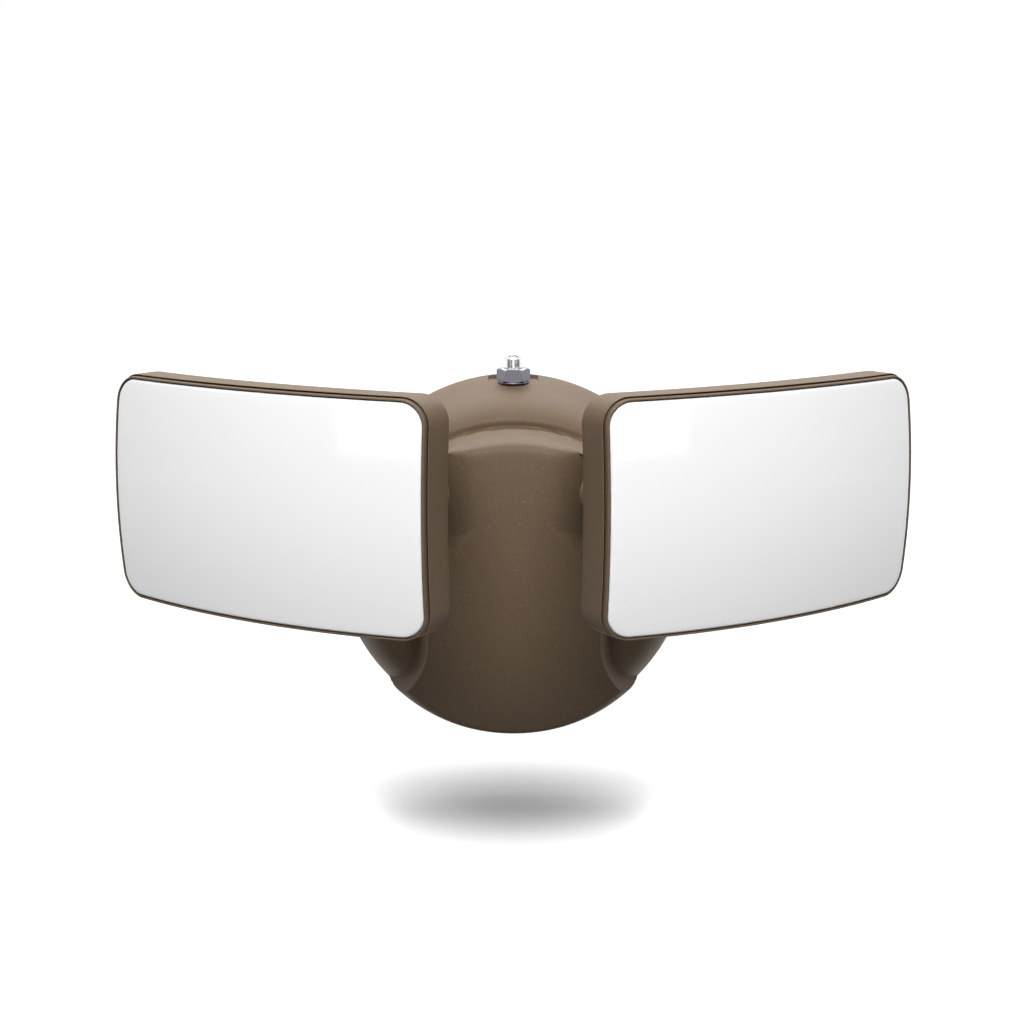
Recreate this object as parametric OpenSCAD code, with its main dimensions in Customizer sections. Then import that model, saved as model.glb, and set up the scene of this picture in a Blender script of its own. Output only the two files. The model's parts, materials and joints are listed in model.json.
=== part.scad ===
// Twin-head LED security light on a round, sculpted wall base.
// Millimetres. The wall is the plane y = 0, the front is -Y, up is +Z,
// and the origin is the centre of the base on the wall.

/* [Base] */
// Outer radius of the base at the wall
base_r = 62.5; // [60:0.5:68]
// Radius at which the rounded rim turns into the front of the base
base_front_r = 48.5; // [46:0.5:50]
// Depth of the rounded rim from the wall
base_depth = 38.5; // [36:0.5:40]
// Rise of the shallow crown in front of the rim
base_crown = 1.6; // [0.5:0.1:2]
// Wall thickness of the cast base
base_wall = 2.6; // [2:0.1:3.5]

/* [Spine] */
// Distance that the spine's face stands in front of the rim
spine_front = 21.5; // [20.5:0.5:25.5]
// Radius of the face's vertical curve
spine_curve_r = 165; // [150:5:220]
// Height at which the face stands furthest out
spine_peak_z = 24; // [20:1:30]
// Half width of the face between the pockets
spine_half_w = 28.5; // [28:0.25:30]
// Radius of the scooped pocket beside the face
pocket_r = 27.3; // [25:0.5:29]
// Height of the pocket's centre
pocket_z = -21; // [-23:1:-19]
// Outer radius of the arched crest
crest_r = 60; // [58:0.5:61]
// Height of the crest arc's centre
crest_z = -9; // [-10:0.5:-8]
// Width of the crest's rounded shoulder
crest_band = 7; // [5:0.5:8]
// Half width of the neck where the arms come out
neck_half_w = 26; // [25:0.25:27]
// Half width of the neck's flat front
neck_flat = 10; // [8:0.5:12]
// Distance from the crest's arc down to the scallops in the neck
scallop_drop = 4.7; // [4:0.1:7]
// Distance of the spine's foot inside the base's rim
foot_inset = 2.7; // [2.4:0.1:4]

/* [Sensor] */
// Distance of the light sensor from the wall
sensor_y = 15; // [13:0.5:17]
// Diameter of the sensor barrel
sensor_d = 6; // [5:0.1:7]
// Depth of the flat that the sensor stands on, below the base's rim
sensor_seat_drop = 1.7; // [1.4:0.1:2.5]
// Length of the barrel above its flat
sensor_len = 9; // [8:0.1:12]
// Width across flats of the sensor nut
sensor_nut_af = 10; // [9:0.5:12]
// Height of the sensor nut
sensor_nut_h = 4.6; // [3:0.1:5]

/* [Arms] */
// Distance of the arms' swivel axis in front of the rim
arm_front = 9.5; // [9:0.25:10.5]
// Height of the arms' swivel axis
arm_z = 29; // [27:0.5:30]
// Diameter of the arm's shaft
arm_d = 14; // [12:0.5:14.5]
// Diameter of the arm's flange
flange_d = 18; // [17:0.5:18]
// Diameter of the threaded end of the shaft
thread_d = 8; // [7:0.5:9]
// Diameter of the wire bore in the arm
wire_bore_d = 4.4; // [3:0.2:5]
// Distance of the head's pivot from the middle of the light
pivot_x = 56.8; // [55:0.2:60]
// Diameter of the pivot bolt
pivot_d = 5; // [4:0.5:6]
// Radius of the knuckle round the pivot bolt
knuckle_r = 8; // [7:0.5:9]
// Thickness of the arm's tongue
tongue_t = 9; // [8:0.5:11]
// Thickness of each ear on the head
ear_t = 4; // [3:0.5:5]

/* [Heads] */
// Outward turn of each head
head_yaw = 32.5; // [28:0.5:36]
// Distance from the pivot forward to the front of the lens
head_reach = 38.3; // [37:0.1:41]
// Distance of the head's middle outward from the pivot
head_offset = 8; // [6:0.5:10]
// Width of the lens
lens_w = 122.6; // [118:0.2:125]
// Height of the lens
lens_h = 72; // [68:0.2:76]
// Corner radius of the lens
lens_corner_r = 7.6; // [6:0.1:10]
// Radius of the ball that the lens is a cap of
lens_ball_r = 245; // [220:5:300]
// Thickness of the lens
lens_t = 2.2; // [1.6:0.1:3]
// Width of the bezel's front edge round the lens
bezel_land = 1.1; // [0.9:0.1:1.6]
// Depth of the bezel
bezel_t = 2.2; // [1.6:0.1:3]
// Depth of the head's side wall, bezel included
head_t = 13; // [12.5:0.5:15]
// Draft angle of the head's side walls
head_draft = 1.15; // [0.5:0.05:1.5]
// Wall thickness of the head's housing
head_wall = 2; // [1.6:0.1:2.4]
// Width of the pan on the back of the head
pan_w = 96; // [90:1:100]
// Height of the pan
pan_h = 54; // [50:1:56]
// Distance of the pan's floor behind the front of the lens
pan_depth = 21; // [20:0.5:22]
// Height of the cooling fins on the pan
fin_h = 4; // [2:0.5:5]
// Number of cooling fins on each side of the knuckle
fin_count = 6; // [4:1:7]
// Thickness of a cooling fin
fin_t = 1.6; // [1.2:0.1:2]

/* [Mounting] */
// Width of the foam seal between the base and the wall
gasket_w = 6; // [4:0.5:7]
// Thickness of the mounting plate
plate_t = 1.6; // [1.2:0.1:2]
// Distance between the plate's two box-screw slots
slot_spacing = 79.4; // [70:0.1:84]
// End-to-end length of a box-screw slot
slot_len = 18; // [12:1:20]
// Width of a box-screw slot
slot_w = 4.8; // [4:0.1:5.5]
// Diameter of the plate's wire hole
wire_hole_d = 26; // [22:1:30]
// Distance of each mounting screw from the middle
screw_x = 46; // [45.5:0.25:46.5]
// Height of the mounting screws
screw_z = -4; // [-6:0.5:-2]
// Diameter of the mounting screws
screw_d = 4; // [3.5:0.1:4.5]
// Diameter of the cable grommet's bore
cable_d = 8; // [7:0.5:10]

/* [Hidden] */
$fn = 96;

// Clearances
run_gap = 0.05;
seat_gap = 0.1;
body_gap = 0.3;
screw_gap = 0.2;
far = 200;
eps = 0.01;

bronze = [0.36, 0.28, 0.20];
opal = [0.95, 0.95, 0.95];
nickel = [0.80, 0.80, 0.82];
zinc = [0.70, 0.71, 0.72];
black_rubber = [0.08, 0.08, 0.08];
board_green = [0.10, 0.32, 0.20];
board_white = [0.92, 0.92, 0.90];
clear_tint = [0.85, 0.88, 0.90];
led_yellow = [0.95, 0.85, 0.35];

// Base, gasket and back cover
gasket_t = 1.5;
gasket_edge = 0.5;
plate_gap = 1;
plate_r = base_r - gasket_edge - gasket_w - plate_gap;
plate_boss_h = 2;
shell_back = gasket_t + seat_gap;
cover_t = 2;
cover_back = plate_t + plate_boss_h + 0.4;
cover_front = cover_back + cover_t;
cover_gap = 1.4;
cover_screw_d = 3;
cover_screw_count = 4;
cover_screw_turn = 45;
cover_boss_r = 3.6;
cover_boss_gap = 13.3;
cover_screw_ring = base_r - base_wall - cover_boss_r - cover_boss_gap;
cover_post_x = cover_screw_ring*cos(cover_screw_turn);
cover_head_r = 2.6;
cover_head_h = 0.7;
tap_depth = 8;
screw_boss_r = 5;
screw_head_r = 3.8;
screw_head_h = 2.6;
screw_head_y = base_depth - 5;
screw_slot_w = 0.8;
grommet_wall = 2;
grommet_lip = 2;
grommet_lip_t = 2;
grommet_catch = 1.4;
arc_steps = 14;
front_fn = 128;

// Sensor
sensor_seat_z = base_r - sensor_seat_drop;
flat_half_w = 8.6;
flat_half_l = 12;
sensor_tail = 9;
sensor_wall = 1;
sensor_rim = 0.7;
sensor_rim_in = 0.5;
sensor_collar_w = 2;
sensor_collar_t = 1.5;
sensor_collar_gap = 1.3;
sensor_collar_z = sensor_seat_z - base_wall - sensor_collar_gap - sensor_collar_t;
window_len = 4;
window_ball_r = 3.5;
window_sink = 0.6;
sensor_washer_t = 0.5;
sensor_washer_edge = 0.3;

// Crest and neck
spine_depth = base_depth + spine_front;
crest_lip = crest_r - crest_band;
crest_rise = 3;
crest_top = spine_depth + 2;
scallop_r = crest_r - scallop_drop;
neck_round_depth = 14;
neck_foot = arm_z + 2;
face_steps = 24;
spine_root = 10;
foot_r = base_r - foot_inset;
foot_back = 24;
foot_rise = spine_depth - foot_back - 2;
foot_power = 6;
foot_steps = 12;
foot_keep = 0.6;
foot_top_z = -25;

// Arms
arm_y = base_depth + arm_front;
boss_r = flange_d/2 + 0.5;
boss_end = neck_half_w + 1.5;
seal_t = 1.6;
flange_t = 3;
socket_start = 13;
tongue_root = 4;
tongue_shoulder = 1.5;
socket_r = arm_d/2 + run_gap;
thread_len = 9;
washer_t = 1;
washer_r = 8;
nut_af = 13;
nut_t = 5;
nut_chamfer = 0.6;
tongue_start = pivot_x - knuckle_r - tongue_root;
flange_start = boss_end + seal_t + 2*seat_gap;
wire_exit_x = tongue_start - tongue_root;
ear_in = tongue_t/2 + body_gap;
ear_out = ear_in + ear_t;
ear_sink = 0.5;
bolt_head_r = 4.2;
bolt_head_h = 2.8;
pivot_nut_af = 8;
pivot_nut_t = 4;
bolt_tip = 1.2;

// Heads
head_w = lens_w + 2*bezel_land;
head_h = lens_h + 2*bezel_land;
head_corner_r = lens_corner_r + bezel_land;
side_bulge = 0.67;
top_bulge = 0.22;
lens_sink = 0.1;
prism_l = 45;
prism_front = 5;
flange_w = 0.5;
ledge_w = 1.5;
flange_drop = bezel_t + seat_gap;
lens_flange_t = 1.2;
gasket_drop = flange_drop + lens_flange_t + seat_gap;
head_gasket_t = 1;
ledge_drop = gasket_drop + head_gasket_t + seat_gap;
cavity_drop = head_t - head_wall;
pan_corner_r = 9;
pan_floor_t = 2.5;
led_board_w = 84;
led_board_h = 42;
led_board_t = 1.6;
led_board_top = 14.5;
led_size = 3.5;
led_t = 0.8;
led_columns = 8;
led_rows = 4;
led_margin_x = 9;
led_margin_y = 7;
board_hole_edge = 4;
board_head_r = 2.7;
board_head_h = 1.4;
board_screw_bite = 3;
head_screw_d = 3;
fin_edge = 5;
fin_shift = head_offset/2;

// Driver, whose board fills the room between the back cover's screws. Each part on it has
// its place as a share of the board's half width and half height, then its sizes
driver_z = -4;
driver_side_gap = 1.4;
driver_post_gap = 0.8;
driver_w = 2*(cover_post_x - driver_side_gap);
driver_h = 2*(cover_post_x - cover_boss_r - driver_post_gap + driver_z);
driver_t = 1.6;
driver_stand = 6;
driver_front = cover_front + driver_stand + driver_t;
driver_hole_edge = 4;
driver_hole_x = driver_w/2 - driver_hole_edge;
driver_hole_z = driver_h/2 - driver_hole_edge;
stud_r = 3;
stud_bore_r = 1.2;
driver_hole_r = 1.7;
driver_screw_r = 1.15;
driver_head_r = 2.3;
driver_head_h = 1.4;
coil = [0.07, -0.23, 16, 14, 12];
chip = [-0.4, 0.43, 9, 7, 5];
terminal = [0.65, 0.3, 12, 7, 8];
big_can = [-0.59, -0.36, 5, 14];
small_can = [0.62, -0.36, 4, 11];
tiny_can = [0.1, 0.43, 3.4, 9];

function arc(cx, cy, rx, ry, a0, a1, n) =
    [for (i = [0:n]) let (a = a0 + (a1 - a0)*i/n) [cx + rx*cos(a), cy + ry*sin(a)]];

// Depth of the spine's face at height z
function face_depth(z, inset = 0) =
    spine_depth - inset - spine_curve_r + sqrt(pow(spine_curve_r, 2) - pow(z - spine_peak_z, 2));

// A rounded rectangle whose sides bow outwards a little
function pane(w, h, r, side_n = 6, corner_n = 8) = [
    for (q = [0:3])
        let (
            sx = (q == 0 || q == 3) ? 1 : -1,
            sy = q < 2 ? 1 : -1,
            corner = arc(sx*(w/2 - r), sy*(h/2 - r), r, r, 90*q, 90*q + 90, corner_n),
            nx = (q == 0 || q == 1) ? -1 : 1,
            tall = q == 1 || q == 3,
            from = corner[corner_n],
            to = tall ? [from[0], -from[1]] : [-from[0], from[1]],
            side = [for (i = [1:side_n - 1]) from + (to - from)*i/side_n]
        )
        each [for (p = concat(corner, side)) [
            p[0]*(1 + 2*side_bulge/w*(1 - pow(2*p[1]/h, 2))),
            p[1]*(1 + 2*top_bulge/h*(1 - pow(2*p[0]/w, 2)))
        ]]
];

// Turns a shape built along +Z so that it stands out from the wall
module from_wall() rotate([90, 0, 0]) children();

// A cylinder that stands out from the wall at (x, z), from depth d0 to d1
module post(x, z, r, d0, d1) translate([x, -d0, z]) rotate([90, 0, 0]) cylinder(r = r, h = d1 - d0);

// What repeats at each of the back cover's screws
module cover_posts() for (i = [0:cover_screw_count - 1])
    rotate([0, cover_screw_turn + 360*i/cover_screw_count, 0])
        translate([cover_screw_ring, 0, 0]) children();

// A shape drawn across (y, z) and run along X between -w and w
module across(w) translate([-w, 0, 0]) rotate([90, 0, 90]) linear_extrude(2*w) children();

// A shape drawn in plan (x, z) and run out from the wall between two depths
module plan(d0, d1) translate([0, -d0, 0]) rotate([90, 0, 0]) linear_extrude(d1 - d0) children();

module dome(inset) {
    r0 = base_front_r - inset;
    rim = base_r - base_front_r;
    h = base_depth - inset;
    crown = [for (i = [1:4]) let (r = r0*(1 - i/4)) [r, h + base_crown*(1 - pow(r/r0, 2))]];
    profile = concat([[0, 0]], arc(r0, 0, rim, h, 0, 90, arc_steps), crown);
    from_wall() rotate_extrude($fn = front_fn) polygon(profile);
}

module spine_face(inset, w) {
    z0 = -base_r;
    z1 = crest_z + crest_r;
    front = [for (i = [0:face_steps]) let (z = z0 + (z1 - z0)*i/face_steps) [-face_depth(z, inset), z]];
    across(w) polygon(concat(front, [[-spine_root, z1], [-spine_root, z0]]));
}

module crest(inset) {
    lip = crest_lip - inset;
    depth = base_depth + crest_rise - inset;
    round_h = face_depth(crest_z + crest_lip) - inset - depth;
    shoulder = arc(lip, depth, crest_band, round_h, 0, 90, 8);
    foot = [[0, spine_root], [crest_r - inset, spine_root]];
    profile = concat(foot, shoulder, [[lip, crest_top], [0, crest_top]]);
    translate([0, 0, crest_z]) from_wall() rotate_extrude($fn = front_fn) polygon(profile);
}

// Rounds the foot of the spine into the rim
module foot_clip(inset) {
    r = foot_r - inset;
    fall = [for (i = [0:foot_steps])
        let (x = 1 - (1 - foot_keep)*(1 - pow(1 - i/foot_steps, 2)))
        [r*x, foot_back + (foot_rise - inset)*sqrt(1 - pow(x, foot_power))]];
    front = [[0, fall[foot_steps][1]]];
    from_wall() rotate_extrude($fn = front_fn) polygon(concat([[0, 0], [r, 0]], fall, front));
    translate([-far/2, -far, foot_top_z]) cube(far);
}

module spine_plan() {
    difference() {
        translate([-base_r, -base_r]) square(2*base_r);
        for (s = [-1, 1]) {
            translate([s*(spine_half_w + pocket_r), pocket_z]) circle(r = pocket_r);
            mirror([s < 0 ? 1 : 0, 0]) {
                translate([spine_half_w, pocket_z]) square(far);
                translate([neck_half_w, neck_foot - neck_half_w]) square(far);
            }
        }
    }
}

// The scallops that round the neck below the crest, one on each side
module neck_scallop(s) {
    round_w = neck_half_w - neck_flat;
    outer = concat(
        arc(neck_flat, -(spine_depth - neck_round_depth), round_w, -neck_round_depth, 90, 0, 10),
        [[neck_half_w, -base_depth], [far, -base_depth], [far, -far], [neck_flat, -far]]
    );
    mirror([s < 0 ? 1 : 0, 0, 0]) intersection() {
        linear_extrude(crest_r) polygon(outer);
        plan(0, far) intersection() {
            translate([0, crest_z]) circle(r = scallop_r, $fn = front_fn);
            polygon([[neck_flat, neck_foot - neck_flat], [far, neck_foot - far], [far, far],
                [neck_flat, far]]);
        }
    }
}

module spine() {
    difference() {
        intersection() {
            spine_face(0, base_r);
            crest(0);
            foot_clip(0);
            plan(spine_root, far) spine_plan();
        }
        for (s = [-1, 1]) neck_scallop(s);
    }
}

// The arms' sockets run into the neck from each side
module arm_cylinder(s, r, x0, x1)
    translate([s*x0, -arm_y, arm_z]) rotate([0, s*90, 0]) cylinder(r = r, h = x1 - x0);

module spine_hollow() {
    room = neck_half_w - 2*base_wall;
    intersection() {
        spine_face(base_wall, socket_start);
        crest(base_wall);
        foot_clip(base_wall);
    }
    intersection() {
        spine_face(base_wall, spine_half_w - base_wall);
        plan(spine_root, far) translate([-room, -base_r]) square([2*room, base_r + base_wall]);
        foot_clip(base_wall);
    }
}

module base_shell() color(bronze) {
    difference() {
        union() {
            difference() {
                union() {
                    dome(0);
                    spine();
                }
                difference() {
                    union() {
                        dome(base_wall);
                        spine_hollow();
                    }
                    for (s = [-1, 1]) arm_cylinder(s, boss_r, socket_start, boss_end);
                    for (s = [-1, 1]) post(s*screw_x, screw_z, screw_boss_r, cover_back, base_depth);
                    cover_posts() post(0, 0, cover_boss_r, cover_front + seat_gap, base_depth);
                }
            }
            for (s = [-1, 1]) arm_cylinder(s, boss_r, socket_start, boss_end);
        }
        from_wall() translate([0, 0, -1]) cylinder(r = base_r + 5, h = shell_back + 1);
        for (s = [-1, 1]) {
            arm_cylinder(s, socket_r, socket_start - 1, boss_end + 1);
            post(s*screw_x, screw_z, screw_d/2 + screw_gap, 0, far);
            post(s*screw_x, screw_z, screw_head_r + screw_gap, screw_head_y, far);
        }
        cover_posts() post(0, 0, cover_screw_d/2 + run_gap, 0, cover_front + tap_depth + base_wall);
        translate([0, -sensor_y, 0]) {
            translate([-flat_half_w, -flat_half_l, sensor_seat_z]) cube([2*flat_half_w, 2*flat_half_l, far]);
            cylinder(r = sensor_d/2 + screw_gap, h = base_r + 5);
        }
    }
}

module wall_gasket() color(black_rubber) from_wall() difference() {
    cylinder(r = base_r - gasket_edge, h = gasket_t, $fn = front_fn);
    translate([0, 0, -1]) cylinder(r = base_r - gasket_edge - gasket_w, h = gasket_t + 2, $fn = front_fn);
}

module slot_hole(w, len, z) plan(-1, plate_t + 1) translate([0, z]) {
    square([w, len - w], center = true);
    for (s = [-1, 1]) translate([0, s*(len - w)/2]) circle(r = w/2, $fn = 48);
}

module mounting_plate() color(zinc) {
    difference() {
        union() {
            post(0, 0, plate_r, 0, plate_t);
            for (s = [-1, 1])
                post(s*screw_x, screw_z, screw_boss_r - 1, plate_t - eps, plate_t + plate_boss_h);
        }
        post(0, 0, wire_hole_d/2, -1, plate_t + 1);
        for (s = [-1, 1]) {
            slot_hole(slot_w, slot_len, s*slot_spacing/2);
            post(s*screw_x, screw_z, screw_d/2 + run_gap, -1, plate_t + plate_boss_h + 1);
        }
    }
}

module back_cover() color(zinc) {
    difference() {
        post(0, 0, base_r - base_wall - cover_gap, cover_back, cover_front);
        for (s = [-1, 1]) post(s*screw_x, screw_z, screw_boss_r + screw_gap, 0, cover_front + 1);
        cover_posts() post(0, 0, cover_screw_d/2 + screw_gap, 0, cover_front + 1);
        post(0, 0, cable_d/2 + grommet_wall, 0, cover_front + 1);
    }
    for (sx = [-1, 1], sz = [-1, 1]) driver_stud(sx, sz);
}

module driver_stud(sx, sz) difference() {
    x = sx*driver_hole_x;
    z = driver_z + sz*driver_hole_z;
    post(x, z, stud_r, cover_front - eps, cover_front + driver_stand);
    post(x, z, stud_bore_r, cover_front + 1, driver_front);
}

module pan_head_screw(r, shank, head_r, head_h) {
    difference() {
        cylinder(r = head_r, h = head_h, $fn = 48);
        for (a = [0, 90]) rotate([0, 0, a])
            translate([-head_r*0.6, -screw_slot_w/2, head_h/2]) cube([head_r*1.2, screw_slot_w, head_h]);
    }
    translate([0, 0, -shank]) cylinder(r = r, h = shank + eps, $fn = 48);
}

// A screw whose head faces the front, seated at depth d
module front_screw(x, z, d, r, shank, head_r, head_h)
    translate([x, -d, z]) from_wall() pan_head_screw(r, shank, head_r, head_h);

// A screw whose head faces the wall, seated at depth d
module back_screw(x, z, d, r, shank, head_r, head_h)
    translate([x, -d, z]) rotate([-90, 0, 0]) pan_head_screw(r, shank, head_r, head_h);

module cover_screws() color(zinc) cover_posts()
    back_screw(0, 0, cover_back, cover_screw_d/2, cover_t + tap_depth, cover_head_r, cover_head_h);

module mounting_screws() color(zinc) for (s = [-1, 1])
    front_screw(s*screw_x, screw_z, screw_head_y + seat_gap, screw_d/2, screw_head_y - seat_gap,
        screw_head_r, screw_head_h);

module cable_grommet() color(black_rubber) from_wall() difference() {
    union() {
        translate([0, 0, cover_back]) cylinder(r = cable_d/2 + grommet_wall - seat_gap, h = cover_t);
        translate([0, 0, cover_back - grommet_lip_t])
            cylinder(r = cable_d/2 + grommet_wall + grommet_lip, h = grommet_lip_t);
        translate([0, 0, cover_front])
            cylinder(r = cable_d/2 + grommet_wall + grommet_catch, h = grommet_catch);
    }
    cylinder(r = cable_d/2, h = cover_front + grommet_catch + 1);
}

module driver_board() color(board_green) difference() {
    plan(cover_front + driver_stand, driver_front) translate([-driver_w/2, driver_z - driver_h/2])
        square([driver_w, driver_h]);
    for (sx = [-1, 1], sz = [-1, 1])
        post(sx*driver_hole_x, driver_z + sz*driver_hole_z, driver_hole_r, 0, far);
}

// A component on the driver's board, given as [x, z, width, height, depth]
module driver_block(b) plan(driver_front, driver_front + b[4])
    translate([b[0]*driver_w/2, driver_z + b[1]*driver_h/2]) square([b[2], b[3]], center = true);

// A round component on the driver's board, given as [x, z, radius, depth]
module driver_can(c)
    post(c[0]*driver_w/2, driver_z + c[1]*driver_h/2, c[2], driver_front, driver_front + c[3]);

module driver_parts() {
    color("goldenrod") driver_block(coil);
    color("black") driver_block(chip);
    color("white") driver_block(terminal);
    color("steelblue") driver_can(big_can);
    color("steelblue") driver_can(small_can);
    color("saddlebrown") driver_can(tiny_can);
}

module driver_screws() color(zinc) for (sx = [-1, 1], sz = [-1, 1])
    front_screw(sx*driver_hole_x, driver_z + sz*driver_hole_z, driver_front, driver_screw_r,
        driver_t + driver_stand/2, driver_head_r, driver_head_h);

module sensor_barrel() color(nickel) translate([0, -sensor_y, 0]) difference() {
    union() {
        translate([0, 0, sensor_seat_z - sensor_tail])
            cylinder(r = sensor_d/2, h = sensor_len + sensor_tail - sensor_rim);
        translate([0, 0, sensor_seat_z + sensor_len - sensor_rim])
            cylinder(r1 = sensor_d/2, r2 = sensor_d/2 - sensor_rim_in, h = sensor_rim);
        translate([0, 0, sensor_collar_z])
            cylinder(r = sensor_d/2 + sensor_collar_w, h = sensor_collar_t);
    }
    translate([0, 0, sensor_seat_z - far/2]) cylinder(r = sensor_d/2 - sensor_wall, h = far);
}

module sensor_window() color(clear_tint)
    translate([0, -sensor_y, sensor_seat_z + sensor_len - window_len]) {
    r = sensor_d/2 - sensor_wall - run_gap;
    cylinder(r = r, h = window_len);
    intersection() {
        translate([0, 0, window_len - window_ball_r + window_sink]) sphere(r = window_ball_r);
        cylinder(r = r, h = 2*window_len);
    }
}

module sensor_washer() color(nickel) translate([0, -sensor_y, sensor_seat_z]) difference() {
    cylinder(r = sensor_nut_af/2 + sensor_washer_edge, h = sensor_washer_t);
    translate([0, 0, -1]) cylinder(r = sensor_d/2 + run_gap, h = sensor_washer_t + 2);
}

// A hexagon nut with its corners turned off at both ends
module hex_nut(af, h, r) difference() {
    corner_r = af/sqrt(3);
    intersection() {
        cylinder(r = corner_r, h = h, $fn = 6);
        rotate_extrude($fn = 48) polygon([
            [0, 0], [af/2, 0], [corner_r, nut_chamfer], [corner_r, h - nut_chamfer], [af/2, h], [0, h]
        ]);
    }
    translate([0, 0, -1]) cylinder(r = r, h = h + 2, $fn = 64);
}

module sensor_nut() color(nickel) translate([0, -sensor_y, sensor_seat_z + sensor_washer_t])
    hex_nut(sensor_nut_af, sensor_nut_h, sensor_d/2 + run_gap);

module arm(s) color(bronze) difference() {
    union() {
        arm_cylinder(s, arm_d/2, socket_start - seat_gap, tongue_start);
        arm_cylinder(s, thread_d/2, socket_start - thread_len, socket_start);
        arm_cylinder(s, flange_d/2, flange_start, flange_start + flange_t);
        translate([s*pivot_x, -arm_y, arm_z - tongue_t/2]) cylinder(r = knuckle_r, h = tongue_t);
        translate([s*(pivot_x + tongue_start - 1)/2, -arm_y, arm_z])
            cube([pivot_x - tongue_start + 1, 2*(knuckle_r - tongue_shoulder), tongue_t], center = true);
    }
    arm_cylinder(s, wire_bore_d/2, 0, wire_exit_x + wire_bore_d/2);
    translate([s*wire_exit_x, -arm_y, arm_z]) from_wall() cylinder(r = wire_bore_d/2, h = arm_d);
    translate([s*pivot_x, -arm_y, arm_z - far/2]) cylinder(r = pivot_d/2 + run_gap, h = far);
}

module arm_seal(s) color(black_rubber) difference() {
    arm_cylinder(s, flange_d/2, boss_end + seat_gap, boss_end + seat_gap + seal_t);
    arm_cylinder(s, arm_d/2 + run_gap, 0, far);
}

module arm_washer(s) color(zinc) difference() {
    arm_cylinder(s, washer_r, socket_start - seat_gap - washer_t, socket_start - seat_gap);
    arm_cylinder(s, thread_d/2 + run_gap, 0, far);
}

module arm_nut(s) color(zinc) {
    x1 = socket_start - seat_gap - washer_t;
    translate([s*x1, -arm_y, arm_z]) rotate([0, -s*90, 0]) hex_nut(nut_af, nut_t, thread_d/2 + run_gap);
}

// Places a head-space shape: x outward, y up, z forward, origin on the middle of the lens
module place_head(s) mirror([s < 0 ? 1 : 0, 0, 0])
    translate([pivot_x, -arm_y, arm_z]) rotate([0, 0, head_yaw]) translate([head_offset, -head_reach, 0])
    rotate([90, 0, 0]) children();

// The ball that the lens is a cap of, made smaller by a drop below the front of the head
module lens_ball(drop) translate([0, 0, -lens_ball_r]) sphere(r = lens_ball_r - drop, $fn = 240);

// The part of a prism between two such balls
module slab(drop0, drop1) intersection() {
    translate([0, 0, prism_front - prism_l]) children();
    difference() {
        lens_ball(drop0);
        if (drop1 > 0) lens_ball(drop1);
    }
}

// The outline of the lens, grown by a distance on every side and run through the head
module lens_prism(grow)
    linear_extrude(prism_l) polygon(pane(lens_w + 2*grow, lens_h + 2*grow, lens_corner_r + min(grow, 0)));

// The head's side walls draw in towards the back
module drafted(w, h, r) {
    back_scale = 1 - 2*prism_l*tan(head_draft)/w;
    mirror([0, 0, 1]) translate([0, 0, -prism_l]) linear_extrude(prism_l, scale = back_scale)
        polygon(pane(w, h, r));
}

module pan_block(inset, depth) {
    w = pan_w - 2*inset;
    h = pan_h - 2*inset;
    translate([0, 0, -depth]) linear_extrude(depth) polygon(pane(w, h, pan_corner_r - inset, 2, 8));
}

// Puts something turned about the pivot's axis at a height in head space
module at_pivot(height) translate([-head_offset, height, -head_reach]) rotate([-90, 0, 0]) children();

// What repeats at each corner of the LED board
module board_corners(z) for (e = [-1, 1], f = [-1, 1])
    translate([e*(led_board_w/2 - board_hole_edge), f*(led_board_h/2 - board_hole_edge), z]) children();

module knuckle_ears() {
    translate([-head_offset, 0, -head_reach]) for (s = [-1, 1])
        translate([0, s > 0 ? ear_in : -ear_out, 0]) rotate([-90, 0, 0]) {
            cylinder(r = knuckle_r, h = ear_t);
            translate([-knuckle_r, pan_depth - head_reach - ear_sink, 0])
                cube([2*knuckle_r, head_reach - pan_depth + ear_sink, ear_t]);
        }
}

module fins() {
    first = knuckle_r + fin_shift;
    pitch = (pan_w/2 - pan_corner_r - fin_t - first)/fin_count;
    for (s = [-1, 1], i = [1:fin_count])
        translate([s*(first + i*pitch) - fin_shift - fin_t/2, fin_edge - pan_h/2, -pan_depth - fin_h])
            cube([fin_t, pan_h - 2*fin_edge, fin_h + 1]);
}

module housing(s) color(bronze) place_head(s) difference() {
    union() {
        slab(bezel_t + seat_gap, head_t) drafted(head_w, head_h, head_corner_r);
        intersection() {
            pan_block(0, pan_depth);
            lens_ball(head_t - 1);
        }
        fins();
        knuckle_ears();
    }
    slab(0, ledge_drop) lens_prism(flange_w + seat_gap);
    slab(0, cavity_drop) lens_prism(-ledge_w);
    pan_block(pan_floor_t, pan_depth - pan_floor_t);
    board_corners(-pan_depth + pan_floor_t/2) cylinder(r = head_screw_d/2 + run_gap, h = far);
    at_pivot(-far/2) cylinder(r = pivot_d/2 + screw_gap, h = far);
    translate([-head_offset, 0, -pan_depth - 1]) cylinder(r = wire_bore_d/2, h = pan_floor_t + 2);
}

module bezel(s) color(bronze) place_head(s) difference() {
    slab(0, bezel_t) drafted(head_w, head_h, head_corner_r);
    slab(-1, bezel_t + 1) lens_prism(seat_gap);
}

module lens(s) color(opal) place_head(s) {
    slab(lens_sink, lens_t + lens_sink) lens_prism(0);
    difference() {
        slab(flange_drop, flange_drop + lens_flange_t) lens_prism(flange_w);
        slab(0, 0) lens_prism(-flange_w);
    }
}

module lens_gasket(s) color(black_rubber) place_head(s) difference() {
    slab(gasket_drop, gasket_drop + head_gasket_t) lens_prism(flange_w);
    slab(0, 0) lens_prism(-ledge_w);
}

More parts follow.
